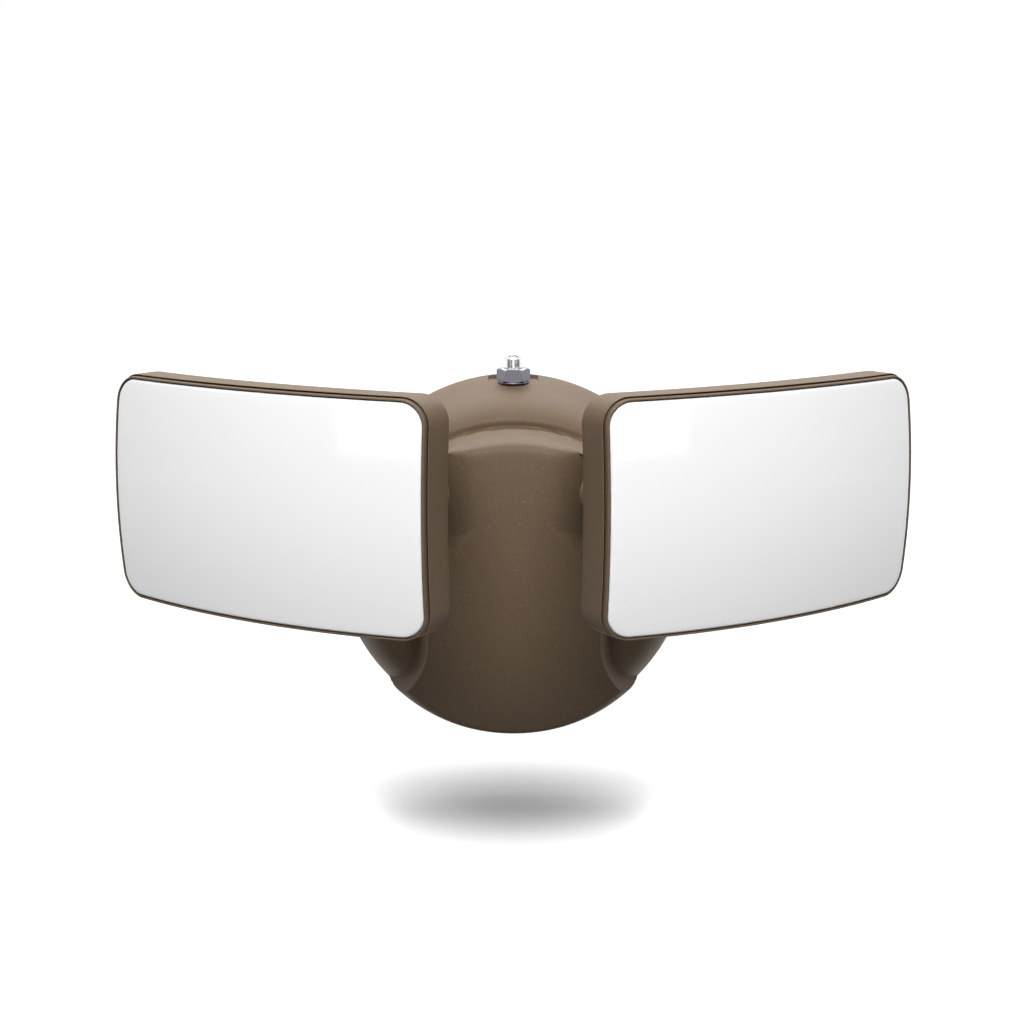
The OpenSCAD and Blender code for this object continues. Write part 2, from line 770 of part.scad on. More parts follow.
module led_board(s) color(board_white) place_head(s) difference() {
    translate([-led_board_w/2, -led_board_h/2, -led_board_top - led_board_t])
        cube([led_board_w, led_board_h, led_board_t]);
    board_corners(-pan_depth) cylinder(r = head_screw_d/2 + screw_gap, h = pan_depth);
}

module leds(s) color(led_yellow) place_head(s) {
    x1 = led_board_w/2 - led_margin_x;
    y1 = led_board_h/2 - led_margin_y;
    for (i = [0:led_columns - 1], j = [0:led_rows - 1])
        translate([2*x1*i/(led_columns - 1) - x1, 2*y1*j/(led_rows - 1) - y1, led_t/2 - led_board_top])
            cube([led_size, led_size, led_t], center = true);
}

module board_screws(s) color(zinc) place_head(s) board_corners(-led_board_top)
    pan_head_screw(head_screw_d/2, led_board_t + board_screw_bite, board_head_r, board_head_h);

module pivot_bolt(s) color(zinc) place_head(s) at_pivot(ear_out) {
    shank = 2*ear_out + pivot_nut_t + bolt_tip;
    cylinder(r = bolt_head_r, h = bolt_head_h);
    translate([0, 0, -shank]) cylinder(r = pivot_d/2, h = shank + eps);
}

module pivot_nut(s) color(zinc) place_head(s) at_pivot(-ear_out) mirror([0, 0, 1])
    hex_nut(pivot_nut_af, pivot_nut_t, pivot_d/2 + run_gap);

module left_arm() arm(-1);
module left_arm_seal() arm_seal(-1);
module left_arm_washer() arm_washer(-1);
module left_arm_nut() arm_nut(-1);
module right_arm() arm(1);
module right_arm_seal() arm_seal(1);
module right_arm_washer() arm_washer(1);
module right_arm_nut() arm_nut(1);
module left_housing() housing(-1);
module left_bezel() bezel(-1);
module left_lens() lens(-1);
module left_lens_gasket() lens_gasket(-1);
module left_led_board() led_board(-1);
module left_leds() leds(-1);
module left_board_screws() board_screws(-1);
module left_pivot_bolt() pivot_bolt(-1);
module left_pivot_nut() pivot_nut(-1);
module right_housing() housing(1);
module right_bezel() bezel(1);
module right_lens() lens(1);
module right_lens_gasket() lens_gasket(1);
module right_led_board() led_board(1);
module right_leds() leds(1);
module right_board_screws() board_screws(1);
module right_pivot_bolt() pivot_bolt(1);
module right_pivot_nut() pivot_nut(1);

base_shell();
wall_gasket();
mounting_plate();
back_cover();
cover_screws();
mounting_screws();
cable_grommet();
driver_board();
driver_parts();
driver_screws();
sensor_barrel();
sensor_window();
sensor_washer();
sensor_nut();
left_arm();
left_arm_seal();
left_arm_washer();
left_arm_nut();
right_arm();
right_arm_seal();
right_arm_washer();
right_arm_nut();
left_housing();
left_bezel();
left_lens();
left_lens_gasket();
left_led_board();
left_leds();
left_board_screws();
left_pivot_bolt();
left_pivot_nut();
right_housing();
right_bezel();
right_lens();
right_lens_gasket();
right_led_board();
right_leds();
right_board_screws();
right_pivot_bolt();
right_pivot_nut();
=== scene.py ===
"""Looks of a twin-head LED security light: a sculpted bronze wall base and two opal-lens heads."""

import json
import math

import bmesh
import bpy
import numpy as np
from mathutils import Matrix, Vector


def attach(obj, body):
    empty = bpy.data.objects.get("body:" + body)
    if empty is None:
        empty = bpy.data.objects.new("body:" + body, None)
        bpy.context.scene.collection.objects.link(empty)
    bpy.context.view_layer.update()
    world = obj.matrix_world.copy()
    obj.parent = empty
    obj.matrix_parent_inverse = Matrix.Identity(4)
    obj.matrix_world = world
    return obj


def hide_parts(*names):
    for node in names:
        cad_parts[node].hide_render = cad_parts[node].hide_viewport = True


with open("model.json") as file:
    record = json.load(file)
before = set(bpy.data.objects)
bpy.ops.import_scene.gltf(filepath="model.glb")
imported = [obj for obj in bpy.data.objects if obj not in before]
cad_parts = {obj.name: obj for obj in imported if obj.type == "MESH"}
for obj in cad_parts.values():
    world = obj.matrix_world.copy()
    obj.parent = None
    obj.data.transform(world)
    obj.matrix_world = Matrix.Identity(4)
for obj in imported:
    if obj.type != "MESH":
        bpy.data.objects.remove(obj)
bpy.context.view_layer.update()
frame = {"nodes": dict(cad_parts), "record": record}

MM = 0.001

# Base, in millimetres, as the CAD model has it, with a finer crest, neck and rim
BASE_R = 62.5
FRONT_R = 48.5
RIM_DEPTH = 38.5
SHOULDER_POWER = 1.2
CROWN = 1.6
SHELL_BACK = 1.6
SHELL_WALL = 2.6
HOLLOW_RIM_DEPTH = 10.0
HOLLOW_FRONT_DEPTH = 30.0
HOLLOW_MIDDLE_R = 4.0
HOLLOW_MIDDLE_DEPTH = 33.0

# Face, pockets and foot of the raised spine
FACE_DEPTH = 60.0
FACE_CURVE_R = 165.0
FACE_PEAK_Z = 24.0
FACE_HALF_W = 28.5
POCKET_R = 27.3
POCKET_Z = -21.0
POCKET_SLOPE = 5.0
POCKET_EDGE = 0.7
FOOT_R = 58.9
FOOT_BACK = 24.0
FOOT_RISE = 34.0
FOOT_POWER = 6
FOOT_SLOPE = 6.0
FOOT_EDGE = 3.0
FOOT_LIFT = 6.0
FOOT_LIFT_Z = -30
FOOT_LIFT_RUN = 20
SPINE_FILLET = 1.5

# Crest, with the groove above it, and the scooped neck below it
CREST_Z = -9.0
CREST_R = 57.4
CREST_BAND = 7.0
CREST_FALL = 18.0
CREST_ROUND = 3
CREST_SLOPE = 6.0
CREST_EDGE = 1.6
CREST_GROOVE = 1.6
CREST_GROOVE_W = 1.7
CREST_GROOVE_OUT = 0.4
CREST_GROOVE_Z = 30
CREST_GROOVE_RUN = 8
LIP_R = 56.0
LIP_SLOPE = 5.0
NECK_HALF_W = 23.5
NECK_FLAT = 8.5
NECK_ROUND = 12.5
NECK_SLOPE = 3.0
NECK_EDGE = 1.0
NECK_END_EDGE = 2.0
NECK_FOOT = 31.0
NECK_FOOT_SLOPE = 1.5

# Sensor's flat, screws' pockets and the bosses that carry the arms
SENSOR_Y = 15.0
SENSOR_SEAT_Z = 60.8
SENSOR_FLAT_W = 8.6
SENSOR_FLAT_L = 12.0
SCREW_X = 46.0
SCREW_Z = -4.0
SCREW_HEAD_Y = 33.5
SCREW_POCKET_R = 4.0
BOSS_R = 8.4
BOSS_START = 18.0
BOSS_END = 27.5
BOSS_CHAMFER = 0.8

# Arms and heads
ARM_Y = 48.0
ARM_Z = 29.0
PIVOT_X = 56.8
HEAD_YAW = math.radians(32.5)
HEAD_REACH = 38.3
HEAD_OFFSET = 8.0
BALL_R = 245.0
SIDE_BULGE = 0.67
TOP_BULGE = 0.22
HEAD_W = 124.8
HEAD_H = 75.5
HEAD_CORNER = 8.9
HEAD_UP = 0.2
HEAD_T = 13.0
HEAD_FILLET = 2.2
DRAFT = math.radians(1.15)
DRAFT_FRONT = 5.0
RIM_DROP = 0.75
RIM_W = 0.25

# Lens, its seal (a black line that is partly the rubber gasket and partly painted shade for the gap) and
# the bezel round it
LENS_W = 121.2
LENS_H = 72.5
LENS_CORNER = 7.4
LENS_UP = -0.1
LENS_PROUD = 0.9
LENS_EDGE = 0.7
LENS_BACK = 2.4
SEAL_SHADE_W = 0.4
SEAL_SHADE_GAP = 0.03
SEAL_SHADE_DROP = 0.5
BEZEL_W = 0.6
BEZEL_T = 2.2
BEZEL_SEAT = 0.12
LEDGE_GAP = 0.3
LEDGE_IN = 1.5
LEDGE_DROP = 5.9

# Pan on the back of a head, its fins and the knuckle's ears
PAN_W = 96.0
PAN_H = 54.0
PAN_DEPTH = 21.0
PAN_CORNER = 9.0
PAN_FILLET = 1.5
PAN_FOOT = 2.0
PAN_WALL = 6.0
PAN_FLOOR = 2.5
FIN_H = 4.0
FIN_T = 1.6
FIN_TIP = 0.8
ROOT_SINK = 0.6
FIN_MARGIN = 5
FIN_COUNT = 6
KNUCKLE_R = 8.0
EAR_IN = 4.8
EAR_T = 4.0
EAR_CHAMFER = 0.5
EAR_FLARE = 0.9
EAR_FLARE_H = 2.5
PIVOT_D = 5.0
PIVOT_GAP = 0.2


# Meshes

def make_mesh(name, verts, faces, smooth=True):
    mesh = bpy.data.meshes.new(name)
    mesh.from_pydata([tuple(v) for v in verts], [], faces)
    mesh.validate()
    mesh.update()
    piece = bpy.data.objects.new(name, mesh)
    bpy.context.scene.collection.objects.link(piece)
    if smooth:
        mesh.polygons.foreach_set("use_smooth", [True] * len(mesh.polygons))
    return piece


def fix_normals(piece):
    bm = bmesh.new()
    bm.from_mesh(piece.data)
    bmesh.ops.remove_doubles(bm, verts=bm.verts, dist=1e-7)
    bmesh.ops.recalc_face_normals(bm, faces=bm.faces)
    bm.to_mesh(piece.data)
    bm.free()
    piece.data.update()


def apply_modifiers(piece):
    bpy.context.view_layer.update()
    graph = bpy.context.evaluated_depsgraph_get()
    mesh = bpy.data.meshes.new_from_object(piece.evaluated_get(graph))
    piece.modifiers.clear()
    piece.data = mesh
    mesh.name = piece.name


def boolean(piece, other, operation):
    modifier = piece.modifiers.new("cut", "BOOLEAN")
    modifier.operation = operation
    modifier.solver = "EXACT"
    modifier.object = other
    apply_modifiers(piece)
    bpy.data.objects.remove(other)


def smooth_by_angle(piece, degrees):
    """Shades a piece smooth, with its edges sharper than the angle kept sharp."""
    bm = bmesh.new()
    bm.from_mesh(piece.data)
    limit = math.radians(degrees)
    for face in bm.faces:
        face.smooth = True
    for edge in bm.edges:
        edge.smooth = len(edge.link_faces) == 2 and edge.calc_face_angle(0.0) < limit
    bm.to_mesh(piece.data)
    bm.free()


def loft(rings, close_start=True, close_end=True, around=False):
    """Faces between rings of equal length, with a cap on each open end, or joined end to start."""
    verts = [p for ring in rings for p in ring]
    n = len(rings[0])
    faces = []
    last = len(rings) if around else len(rings) - 1
    for i in range(last):
        a, b = i * n, ((i + 1) % len(rings)) * n
        for k in range(n):
            m = (k + 1) % n
            faces.append((a + k, a + m, b + m, b + k))
    if not around and close_start:
        faces.append(tuple(range(n))[::-1])
    if not around and close_end:
        faces.append(tuple((len(rings) - 1) * n + k for k in range(n)))
    return verts, faces


def lathe(profile, steps=96):
    """Rings of a profile of (radius, height) turned about the Z axis."""
    angles = [2 * math.pi * k / steps for k in range(steps)]
    return [[(r * math.cos(a), r * math.sin(a), h) for a in angles] for r, h in profile]


# Base

def smooth_max(a, b, k):
    h = np.clip(0.5 + 0.5 * (a - b) / k, 0, 1)
    return b + (a - b) * h + k * h * (1 - h)


def smooth_min(a, b, k):
    return -smooth_max(-a, -b, k)


def quarter_drop(distance, width, drop):
    """How far a quarter ellipse has dropped after a distance across its width."""
    t = np.clip(distance / width, 0, 1)
    return drop * (1 - np.sqrt(1 - t * t))


def face_depth(z):
    return FACE_DEPTH - FACE_CURVE_R + np.sqrt(FACE_CURVE_R ** 2 - (z - FACE_PEAK_Z) ** 2)


def outside_face(x, z):
    """Distance outside the flared outline of the face, in plan, negative inside it."""
    ax = np.abs(x)
    from_circle = POCKET_R - np.hypot(ax - FACE_HALF_W - POCKET_R, z - POCKET_Z)
    from_side = ax - FACE_HALF_W
    return np.where(z > POCKET_Z, from_side, from_circle)


def neck_drop(x, z, rho):
    """How far the sides of the neck are scooped out, between the crest's lip and the neck's foot."""
    ax = np.abs(x)
    past_side = 1
    least_edge, most_edge = 0.05, 3.0
    scoop = quarter_drop(ax - NECK_FLAT, NECK_HALF_W + past_side - NECK_FLAT, NECK_ROUND)
    scoop = scoop + NECK_SLOPE * np.maximum(ax - NECK_HALF_W, 0)
    at_lip = crest_drop(np.float64(LIP_R)) + LIP_SLOPE * (LIP_R - rho)
    at_foot = NECK_FOOT_SLOPE * (z + ax - NECK_FOOT) / math.sqrt(2)
    limit = smooth_min(at_lip, at_foot, NECK_END_EDGE)
    return np.maximum(smooth_min(scoop, limit, np.clip(scoop, least_edge, most_edge)), 0)


def crest_drop(rho):
    """How far the crest's rounded shoulder has dropped at a distance from its centre."""
    share = np.clip((rho - CREST_R + CREST_BAND) / CREST_BAND, 0, 1)
    rounded = CREST_FALL * (1 - (1 - share ** CREST_ROUND) ** (1 / CREST_ROUND))
    return rounded + CREST_SLOPE * np.maximum(rho - CREST_R, 0)


def foot_depth(x, z):
    """Depth of the rounded end in which the spine meets the rim."""
    r = np.hypot(x, z)
    glow_with_painted_shadow = FOOT_LIFT * np.clip((z - FOOT_LIFT_Z) / FOOT_LIFT_RUN, 0, 1)
    rounded = np.sqrt(np.clip(1 - (r / FOOT_R) ** FOOT_POWER, 0, 1))
    return glow_with_painted_shadow + FOOT_BACK + FOOT_RISE * rounded - FOOT_SLOPE * np.maximum(r - FOOT_R, 0)


def spine_depth(x, z):
    """Depth of the raised spine from the wall."""
    face = face_depth(z)
    rho = np.hypot(x, z - CREST_Z)
    depth = smooth_min(face, face - POCKET_SLOPE * outside_face(x, z), POCKET_EDGE)
    depth = smooth_min(depth, face - neck_drop(x, z, rho), NECK_EDGE)
    depth = smooth_min(depth, face - crest_drop(rho), CREST_EDGE)
    return smooth_min(depth, foot_depth(x, z), FOOT_EDGE)


def base_depth(x, z, dome):
    """Depth of the whole base, with the groove that sets the crest off from the dome."""
    rho = np.hypot(x, z - CREST_Z)
    depth = smooth_max(dome, spine_depth(x, z), SPINE_FILLET)
    groove = CREST_GROOVE * np.exp(-((rho - CREST_R - CREST_GROOVE_OUT) / CREST_GROOVE_W) ** 2)
    return depth - groove * np.clip((z - CREST_GROOVE_Z) / CREST_GROOVE_RUN, 0, 1)


def dome_profile(rim_steps=36, front_steps=124):
    """Radius and depth of the dome under the spine, from the rim to the middle."""
    profile = []
    for i in range(rim_steps + 1):
        t = math.pi / 2 * i / rim_steps
        r = FRONT_R + (BASE_R - FRONT_R) * math.cos(t) ** SHOULDER_POWER
        profile.append((r, RIM_DEPTH * math.sin(t)))
    for i in range(1, front_steps):
        r = FRONT_R * (1 - i / front_steps)
        profile.append((r, RIM_DEPTH + CROWN * (1 - (r / FRONT_R) ** 2)))
    return profile


def base_skin():
    around = 640
    at_rim = 0.01
    angle = np.arange(around) * 2 * math.pi / around
    rings = []
    for r, dome in dome_profile():
        x, z = r * np.cos(angle), r * np.sin(angle)
        y = base_depth(x, z, np.full(around, dome))
        y = np.maximum(y, SHELL_BACK) if r >= BASE_R - at_rim else y
        rings.append(np.stack([x, -y, z], 1) * MM)
    hollow = [(HOLLOW_MIDDLE_R, HOLLOW_MIDDLE_DEPTH), (FRONT_R, HOLLOW_FRONT_DEPTH),
              (BASE_R - SHELL_WALL, HOLLOW_RIM_DEPTH), (BASE_R - SHELL_WALL, SHELL_BACK)]
    inside = [np.stack([r * np.cos(angle), np.full(around, -y), r * np.sin(angle)], 1) * MM
              for r, y in hollow]
    verts, faces = loft(inside + rings)
    piece = make_mesh("base_shell_skin", verts, faces)
    fix_normals(piece)
    return piece


def box_mesh(name, lo, hi):
    verts = [(x * MM, y * MM, z * MM)
             for x in (lo[0], hi[0]) for y in (lo[1], hi[1]) for z in (lo[2], hi[2])]
    faces = [(0, 1, 3, 2), (4, 6, 7, 5), (0, 4, 5, 1), (2, 3, 7, 6), (0, 2, 6, 4), (1, 5, 7, 3)]
    piece = make_mesh(name, verts, faces, False)
    fix_normals(piece)
    return piece


def turned(name, profile, matrix, steps=96):
    verts, faces = loft(lathe(profile, steps))
    piece = make_mesh(name, verts, faces)
    piece.data.transform(Matrix.Scale(MM, 4) @ matrix)
    fix_normals(piece)
    return piece


def front_axis(x, z):
    """Places something turned about Z so that it points out from the wall at (x, z)."""
    return Matrix.Translation((x, 0, z)) @ Matrix.Rotation(math.radians(90), 4, "X")


def boss(side):
    """The boss that carries an arm, slimmer where it leaves the neck."""
    slim, slim_end, taper, taper_end = 1.5, 4.0, 1.2, 7.0
    length = BOSS_END - BOSS_START
    profile = [(BOSS_R - slim, 0), (BOSS_R - taper, slim_end), (BOSS_R, taper_end),
               (BOSS_R, length - BOSS_CHAMFER), (BOSS_R - BOSS_CHAMFER, length)]
    place = Matrix.Translation((side * BOSS_START, -ARM_Y, ARM_Z))
    return turned("socket", profile, place @ Matrix.Rotation(math.radians(90 * side), 4, "Y"), 64)


def cut_base(piece):
    """Cuts the flat under the sensor and the screws' pockets, and adds the arms' bosses."""
    past_top, past_face = 10, 70.0
    flat = box_mesh("flat", (-SENSOR_FLAT_W, -SENSOR_Y - SENSOR_FLAT_L, SENSOR_SEAT_Z),
                    (SENSOR_FLAT_W, -SENSOR_Y + SENSOR_FLAT_L, SENSOR_SEAT_Z + past_top))
    boolean(piece, flat, "DIFFERENCE")
    for side in (-1, 1):
        profile = [(SCREW_POCKET_R, SCREW_HEAD_Y), (SCREW_POCKET_R, past_face)]
        boolean(piece, turned("pocket", profile, front_axis(side * SCREW_X, SCREW_Z), 48), "DIFFERENCE")
    for side in (-1, 1):
        boolean(piece, boss(side), "UNION")
    smooth_by_angle(piece, 38)


# Heads

def pane(w, h, r, side_n=14, corner_n=10):
    """A rounded rectangle whose sides bow outwards a little, as in the CAD model."""
    points = []
    for q in range(4):
        sx = 1 if q in (0, 3) else -1
        sy = 1 if q < 2 else -1
        corner = []
        for i in range(corner_n + 1):
            a = math.radians(90 * q + 90 * i / corner_n)
            corner.append((sx * (w / 2 - r) + r * math.cos(a), sy * (h / 2 - r) + r * math.sin(a)))
        start = corner[-1]
        end = (start[0], -start[1]) if q in (1, 3) else (-start[0], start[1])
        run, rise = end[0] - start[0], end[1] - start[1]
        side = [(start[0] + run * i / side_n, start[1] + rise * i / side_n) for i in range(1, side_n)]
        points += corner + side
    return [(x * (1 + 2 * SIDE_BULGE / w * (1 - (2 * y / h) ** 2)),
             y * (1 + 2 * TOP_BULGE / h * (1 - (2 * x / w) ** 2))) for x, y in points]


def on_ball(x, y, drop):
    """A point of the ball that lies a drop below the front of the head."""
    return (x, y, math.sqrt((BALL_R - drop) ** 2 - x * x - y * y) - BALL_R)


def ball_ring(w, h, r, drop, up=0.0):
    return [on_ball(x, y + up, drop) for x, y in pane(w, h, r)]


def flat_ring(w, h, r, depth):
    return [(x, y, -depth) for x, y in pane(w, h, r)]


def head_matrix(side):
    """Places what is made about the middle of a head's front, facing up, on the left or right head."""
    right = (Matrix.Translation((PIVOT_X, -ARM_Y, ARM_Z)) @ Matrix.Rotation(HEAD_YAW, 4, "Z")
             @ Matrix.Translation((HEAD_OFFSET, -HEAD_REACH, 0))
             @ Matrix.Rotation(math.radians(90), 4, "X"))
    mirror = Matrix.Diagonal((side, 1, 1, 1))
    return Matrix.Scale(MM, 4) @ mirror @ right


def head_piece(name, side, rings, around=False):
    verts, faces = loft(rings, around=around)
    piece = make_mesh(name, verts, faces)
    piece.data.transform(head_matrix(side))
    fix_normals(piece)
    return piece


def head_ring(inset, drop):
    """A ring of the head's drafted outer wall."""
    ring = []
    outline = ball_ring(HEAD_W - 2 * inset, HEAD_H - 2 * inset, HEAD_CORNER - inset * 0.5, drop, HEAD_UP)
    for x, y, z in outline:
        k = 1 - 2 * math.tan(DRAFT) * (DRAFT_FRONT - z) / HEAD_W
        ring.append(on_ball(x * k, y * k, drop))
    return ring


def lens_ring(out, drop):
    """A ring that keeps a distance outside the lens, a drop below the lens's front."""
    return ball_ring(LENS_W + 2 * out, LENS_H + 2 * out, LENS_CORNER + out, drop - LENS_PROUD, LENS_UP)


def housing_inside():
    """Rings of the housing's hollow, from its floor out to the ledge round the lens."""
    shelf_back, shelf_front, mouth_drop, mouth_grow = 10.5, 6, 11, 1
    w, h = PAN_W - 2 * PAN_WALL, PAN_H - 2 * PAN_WALL
    rings = [flat_ring(w, h, 5, PAN_DEPTH - PAN_FLOOR)]
    rings += [ball_ring(w + 2 * mouth_grow, h + 2 * mouth_grow, 5 + mouth_grow, mouth_drop)]
    rings += [lens_ring(-LEDGE_IN, shelf_back), lens_ring(-LEDGE_IN, shelf_front)]
    rings += [lens_ring(LEDGE_GAP, LEDGE_DROP), lens_ring(LEDGE_GAP, BEZEL_T + BEZEL_SEAT + LENS_PROUD)]
    return rings


def housing_wall():
    """Rings of the outer wall, from the bezel's seat over the rim and back to the rear fillet."""
    wall_steps, fillet_steps = 5, 6
    rim_end = RIM_DROP + 0.3
    rim = [(RIM_W, BEZEL_T + BEZEL_SEAT), (RIM_W, RIM_DROP + 0.15), (0.6 * RIM_W, RIM_DROP),
           (0.03, RIM_DROP + 0.08), (0.0, rim_end)]
    rings = [head_ring(inset, drop) for inset, drop in rim]
    for i in range(1, wall_steps + 1):
        rings.append(head_ring(0.0, rim_end + (HEAD_T - HEAD_FILLET - rim_end) * i / wall_steps))
    for i in range(1, fillet_steps + 1):
        a = math.pi / 2 * i / fillet_steps
        inset, rise = HEAD_FILLET * (1 - math.cos(a)), HEAD_FILLET * math.sin(a)
        rings.append(head_ring(inset, HEAD_T - HEAD_FILLET + rise))
    return rings


def housing_back():
    """Rings of the curved back and of the pan that stands on it."""
    fillet_steps = 6
    back_shares = (0.35, 0.75)
    foot_fillet = ((PAN_FOOT, HEAD_T), (1.0, HEAD_T + 0.2), (0.35, HEAD_T + 0.8), (0.0, HEAD_T + 1.8))
    lowest_drop = HEAD_T + 2.0
    middle_share = 0.5
    rings = []
    w, h = HEAD_W - 2 * HEAD_FILLET, HEAD_H - 2 * HEAD_FILLET
    for k in back_shares:
        rings.append(ball_ring(w + (PAN_W + 2 * PAN_FOOT - w) * k, h + (PAN_H + 2 * PAN_FOOT - h) * k,
                               PAN_CORNER, HEAD_T))
    for grow, drop in foot_fillet:
        rings.append(ball_ring(PAN_W + 2 * grow, PAN_H + 2 * grow, PAN_CORNER + grow, drop))
    for i in range(fillet_steps + 1):
        a = math.pi / 2 * i / fillet_steps
        inset = PAN_FILLET * (1 - math.cos(a)) + 0.01
        depth = PAN_DEPTH - PAN_FILLET + PAN_FILLET * math.sin(a)
        ring = flat_ring(PAN_W - 2 * inset, PAN_H - 2 * inset, PAN_CORNER - inset, depth)
        rings.append([(x, y, min(z, on_ball(x, y, lowest_drop)[2])) for x, y, z in ring])
    middle = flat_ring(PAN_W, PAN_H, PAN_CORNER, PAN_DEPTH)
    rings.append([(x * middle_share, y * middle_share, z) for x, y, z in middle])
    return rings


def housing(side, name):
    piece = head_piece(name, side, housing_inside() + housing_wall() + housing_back())
    boolean(piece, fins(side), "UNION")
    for ear_side in (-1, 1):
        boolean(piece, ear(side, ear_side), "UNION")
    smooth_by_angle(piece, 40)
    return piece


def fin_outline():
    """A fin seen end on, from its root to its rounded tip."""
    half, shoulder, steps = FIN_T / 2, -FIN_H + FIN_TIP, 6
    outline = [(-half, ROOT_SINK), (-half, shoulder)]
    for i in range(1, steps):
        a = math.pi / steps * i
        outline.append((-half * math.cos(a), shoulder - FIN_TIP * math.sin(a)))
    return outline + [(half, shoulder), (half, ROOT_SINK)]


def fins(side):
    """Cooling fins with rounded tips and lower ends, on the pan on each side of the ears."""
    first = KNUCKLE_R + HEAD_OFFSET / 2
    pitch = (PAN_W / 2 - PAN_CORNER - FIN_T - first) / FIN_COUNT
    half = PAN_H / 2 - FIN_MARGIN
    rising = [(-half, 0.35), (-half + 1.2, 0.8), (-half + 3, 1.0)]
    height_along = rising + [(-y, share) for y, share in reversed(rising)]
    verts, faces = [], []
    for s in (-1, 1):
        for i in range(1, FIN_COUNT + 1):
            x0 = -HEAD_OFFSET / 2 + s * (first + i * pitch)
            rings = [[(x0 + u, y, -PAN_DEPTH + (v if v > 0 else v * share)) for u, v in fin_outline()]
                     for y, share in height_along]
            v, f = loft(rings)
            faces += [tuple(k + len(verts) for k in face) for face in f]
            verts += v
    piece = make_mesh("fins", verts, faces)
    piece.data.transform(head_matrix(side))
    fix_normals(piece)
    return piece


def ear(side, ear_side):
    """One ear of the knuckle: a rounded tab from the pan to the pivot bolt, with its bore."""
    steps = 24
    outline = []
    for i in range(steps + 1):
        a = math.pi + math.pi * i / steps
        outline.append((-HEAD_OFFSET + KNUCKLE_R * math.cos(a), -HEAD_REACH + KNUCKLE_R * math.sin(a)))
    root = -PAN_DEPTH + ROOT_SINK
    narrow, wide = KNUCKLE_R, KNUCKLE_R + EAR_FLARE
    outline += [(-HEAD_OFFSET + narrow, root - EAR_FLARE_H), (-HEAD_OFFSET + wide, root)]
    outline += [(-HEAD_OFFSET - wide, root), (-HEAD_OFFSET - narrow, root - EAR_FLARE_H)]
    cx = sum(p[0] for p in outline) / len(outline)
    cz = sum(p[1] for p in outline) / len(outline)
    end = EAR_IN + EAR_T
    rings = []
    for inset, y in ((EAR_CHAMFER, EAR_IN), (0.0, EAR_IN + EAR_CHAMFER), (0.0, end - EAR_CHAMFER),
                     (EAR_CHAMFER, end)):
        k = 1 - inset / KNUCKLE_R
        rings.append([(cx + (x - cx) * k, ear_side * y, cz + (z - cz) * k) for x, z in outline])
    piece = head_piece("ear", side, rings)
    bore_r, bore_half = PIVOT_D / 2 + PIVOT_GAP, 20
    bore = make_mesh("bore", *loft(lathe([(bore_r, -bore_half), (bore_r, bore_half)], 48)))
    bore.data.transform(head_matrix(side) @ Matrix.Translation((-HEAD_OFFSET, 0, -HEAD_REACH))
                        @ Matrix.Rotation(math.radians(90), 4, "X"))
    fix_normals(bore)
    boolean(piece, bore, "DIFFERENCE")
    return piece


def bezel(side, name):
    outer, inner, back = SEAL_SHADE_W + BEZEL_W, SEAL_SHADE_W, BEZEL_T + LENS_PROUD
    profile = [(outer, back), (outer, 0.3), (outer - 0.04, 0.12), (outer - 0.14, 0.0),
               (inner + 0.1, 0.0), (inner + 0.02, 0.06), (inner, 0.2), (inner, back)]
    return head_piece(name, side, [lens_ring(out, drop) for out, drop in profile], around=True)


def seal_and_gap_shade(side, name):
    """The black seal that shows as a line between the lens and the bezel: the lens's rubber gasket, set
    near the front so that it also stands in as painted shade for the deep gap.
    """
    inner, outer, back = SEAL_SHADE_GAP, SEAL_SHADE_W - SEAL_SHADE_GAP, BEZEL_T + LENS_PROUD
    profile = [(inner, back), (inner, SEAL_SHADE_DROP), (outer, SEAL_SHADE_DROP), (outer, back)]
    return head_piece(name, side, [lens_ring(out, drop) for out, drop in profile], around=True)


def lens(side, name):
    """The opal lens: a cap of a large ball with a softly rounded edge."""
    edge_steps, front_steps = 5, 30
    rear_drop = LENS_BACK - LENS_PROUD
    rear = pane(LENS_W, LENS_H, LENS_CORNER)
    rings = [[on_ball(x * k, y * k + LENS_UP, rear_drop) for x, y in rear] for k in (0.1, 0.5, 0.99)]
    rings += [lens_ring(0.0, LENS_BACK - 0.1), lens_ring(0.0, LENS_EDGE)]
    for i in range(1, edge_steps + 1):
        a = math.pi / 2 * i / edge_steps
        rings.append(lens_ring(-LENS_EDGE * (1 - math.cos(a)), LENS_EDGE * (1 - math.sin(a))))
    front = pane(LENS_W - 2 * LENS_EDGE, LENS_H - 2 * LENS_EDGE, LENS_CORNER - LENS_EDGE)
    for i in range(1, front_steps):
        k = 1 - i / front_steps
        rings.append([on_ball(x * k, y * k + LENS_UP, -LENS_PROUD) for x, y in front])
    return head_piece(name, side, rings)


# Materials

def calculate(tree, operation, *values):
    node = tree.nodes.new("ShaderNodeMath")
    node.operation = operation
    for value, socket in zip(values, node.inputs):
        if isinstance(value, (int, float)):
            socket.default_value = value
        else:
            tree.links.new(value, socket)
    return node.outputs[0]


def fade(tree, value, from_zero, to_one):
    node = tree.nodes.new("ShaderNodeMapRange")
    node.inputs["From Min"].default_value = from_zero
    node.inputs["From Max"].default_value = to_one
    tree.links.new(value, node.inputs["Value"])
    return node.outputs["Result"]


